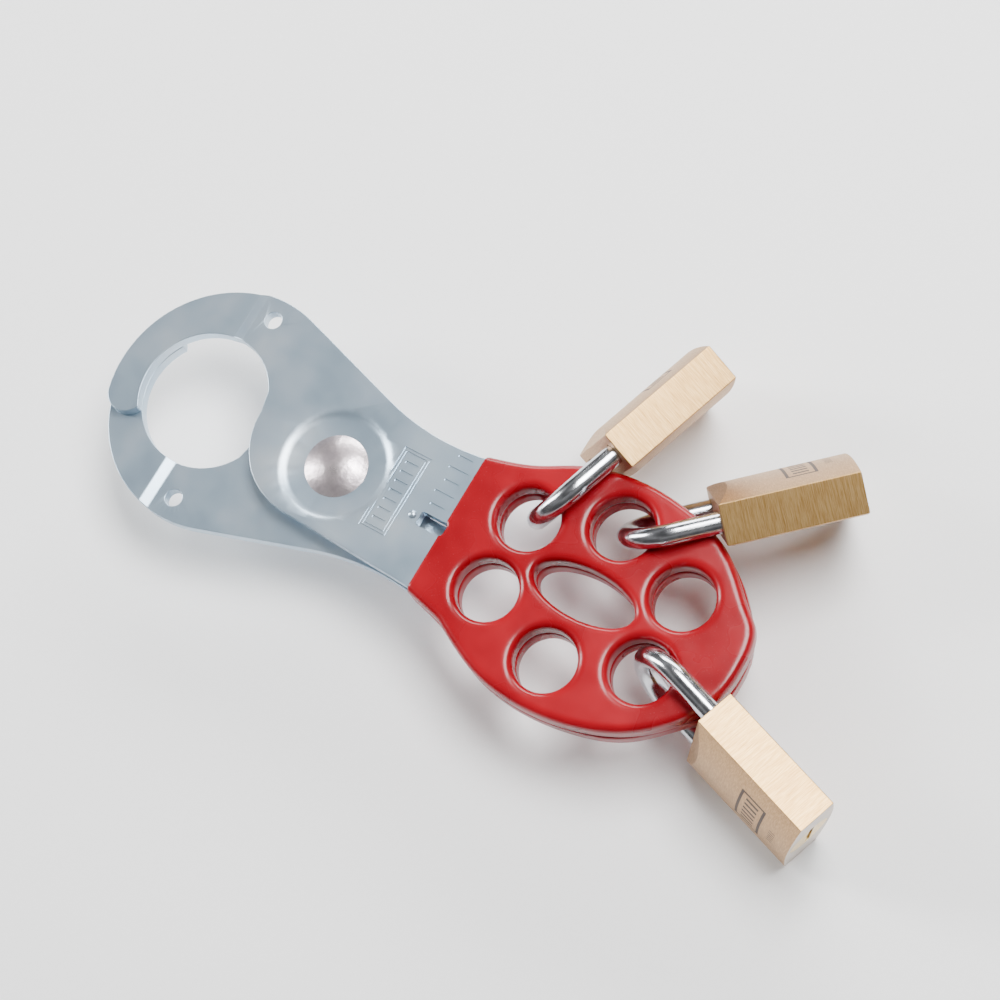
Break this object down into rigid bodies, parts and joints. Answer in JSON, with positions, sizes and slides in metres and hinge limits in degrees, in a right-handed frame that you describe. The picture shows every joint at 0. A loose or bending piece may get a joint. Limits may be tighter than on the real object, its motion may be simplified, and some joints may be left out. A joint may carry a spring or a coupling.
{
  "type": "lockout hasp",
  "caption": "Scissor lockout hasp with a round jaw and a vinyl-coated handle, held shut by small brass padlocks through its holes.",
  "frame": {"origin": "centre of the round jaw opening, on the plane between the two leaves", "axes": "+X from the jaw along the handle, +Z out of the front leaf, +Y to the front leaf's jaw side"},
  "size_m": [0.1645, 0.0751, 0.0288],
  "materials": {
    "zinc_plated_steel": "satin",
    "red_vinyl": "gloss",
    "rivet_steel": "satin",
    "brass_body": "brushed",
    "brass_inner": "machined",
    "chromed_steel": "polished",
    "spring_steel": "plain"
  },
  "bodies": {
    "front_leaf": {"front_leaf": "zinc_plated_steel", "front_grip_coating": "red_vinyl", "pivot_rivet": "rivet_steel"},
    "back_leaf": {"back_leaf": "zinc_plated_steel", "back_grip_coating": "red_vinyl"},
    "shackle_1": {"padlock_1_shackle": "chromed_steel"},
    "lock_body_1": {"padlock_1_body": "brass_body", "padlock_1_plug_retainer": "brass_inner", "padlock_1_latch_spring": "spring_steel", "padlock_1_shackle_spring": "spring_steel", "padlock_1_shackle_pin": "spring_steel", "padlock_1_driver_pins": "brass_inner", "padlock_1_pin_springs": "spring_steel", "padlock_1_chamber_plugs": "brass_inner"},
    "key_plug_1": {"padlock_1_key_plug": "brass_inner", "padlock_1_key_pins": "brass_inner"},
    "latch_1": {"padlock_1_latch": "brass_inner"},
    "shackle_2": {"padlock_2_shackle": "chromed_steel"},
    "lock_body_2": {"padlock_2_body": "brass_body", "padlock_2_plug_retainer": "brass_inner", "padlock_2_latch_spring": "spring_steel", "padlock_2_shackle_spring": "spring_steel", "padlock_2_shackle_pin": "spring_steel", "padlock_2_driver_pins": "brass_inner", "padlock_2_pin_springs": "spring_steel", "padlock_2_chamber_plugs": "brass_inner"},
    "key_plug_2": {"padlock_2_key_plug": "brass_inner", "padlock_2_key_pins": "brass_inner"},
    "latch_2": {"padlock_2_latch": "brass_inner"},
    "shackle_3": {"padlock_3_shackle": "chromed_steel"},
    "lock_body_3": {"padlock_3_body": "brass_body", "padlock_3_plug_retainer": "brass_inner", "padlock_3_latch_spring": "spring_steel", "padlock_3_shackle_spring": "spring_steel", "padlock_3_shackle_pin": "spring_steel", "padlock_3_driver_pins": "brass_inner", "padlock_3_pin_springs": "spring_steel", "padlock_3_chamber_plugs": "brass_inner"},
    "key_plug_3": {"padlock_3_key_plug": "brass_inner", "padlock_3_key_pins": "brass_inner"},
    "latch_3": {"padlock_3_latch": "brass_inner"}
  },
  "joints": [
    {"name": "hasp_pivot", "type": "hinge", "parent": "front_leaf", "child": "back_leaf", "pos_m": [0.0313, 0, 0], "axis": [0, 0, 1], "range_deg": [-0.5, 0.5]},
    {"name": "padlock_1_swing", "type": "hinge", "parent": "front_leaf", "child": "shackle_1", "pos_m": [0.07, 0.0076, 0], "axis": [0, 0, 1], "range_deg": [0, 20]},
    {"name": "padlock_1_release", "type": "slide", "parent": "shackle_1", "child": "lock_body_1", "axis": [0.2756, 0.9508, -0.1416], "range_m": [0, 0.0075]},
    {"name": "padlock_1_key_turn", "type": "hinge", "parent": "lock_body_1", "child": "key_plug_1", "pos_m": [0.08076, 0.04396, -0.00413], "axis": [-0.2756, -0.9508, 0.1416], "range_deg": [0, 90]},
    {"name": "padlock_1_latch_slide", "type": "slide", "parent": "lock_body_1", "child": "latch_1", "axis": [-0.4134, -0.0158, -0.9104], "range_m": [0, 0.0026]},
    {"name": "padlock_2_swing", "type": "hinge", "parent": "front_leaf", "child": "shackle_2", "pos_m": [0.0864, 0.014, 0], "axis": [0, 0, 1], "range_deg": [0, 14]},
    {"name": "padlock_2_release", "type": "slide", "parent": "shackle_2", "child": "lock_body_2", "axis": [0.7216, 0.6831, -0.1127], "range_m": [0, 0.0075]},
    {"name": "padlock_2_key_turn", "type": "hinge", "parent": "lock_body_2", "child": "key_plug_2", "pos_m": [0.11363, 0.03863, -0.00307], "axis": [-0.7216, -0.6831, 0.1127], "range_deg": [0, 90]},
    {"name": "padlock_2_latch_slide", "type": "slide", "parent": "lock_body_2", "child": "latch_2", "axis": [-0.4106, 0.2911, -0.8641], "range_m": [0, 0.0026]},
    {"name": "padlock_3_swing", "type": "hinge", "parent": "front_leaf", "child": "shackle_3", "pos_m": [0.1028, -0.0076, 0], "axis": [0, 0, 1], "range_deg": [-20, 0]},
    {"name": "padlock_3_release", "type": "slide", "parent": "shackle_3", "child": "lock_body_3", "axis": [0.944, -0.3072, -0.1206], "range_m": [0, 0.0075]},
    {"name": "padlock_3_key_turn", "type": "hinge", "parent": "lock_body_3", "child": "key_plug_3", "pos_m": [0.13613, -0.01613, -0.00412], "axis": [-0.944, 0.3072, 0.1206], "range_deg": [0, 90]},
    {"name": "padlock_3_latch_slide", "type": "slide", "parent": "lock_body_3", "child": "latch_3", "axis": [0.1734, 0.1509, 0.9732], "range_m": [0, 0.0026]}
  ],
  "couplings": [
    {"joint": "padlock_1_key_turn", "follows": "padlock_1_release", "rad_per_m": 209.44},
    {"joint": "padlock_1_latch_slide", "follows": "padlock_1_release", "ratio": 0.34666},
    {"joint": "padlock_2_key_turn", "follows": "padlock_2_release", "rad_per_m": 209.44},
    {"joint": "padlock_2_latch_slide", "follows": "padlock_2_release", "ratio": 0.34666},
    {"joint": "padlock_3_key_turn", "follows": "padlock_3_release", "rad_per_m": 209.44},
    {"joint": "padlock_3_latch_slide", "follows": "padlock_3_release", "ratio": 0.34666}
  ]
}
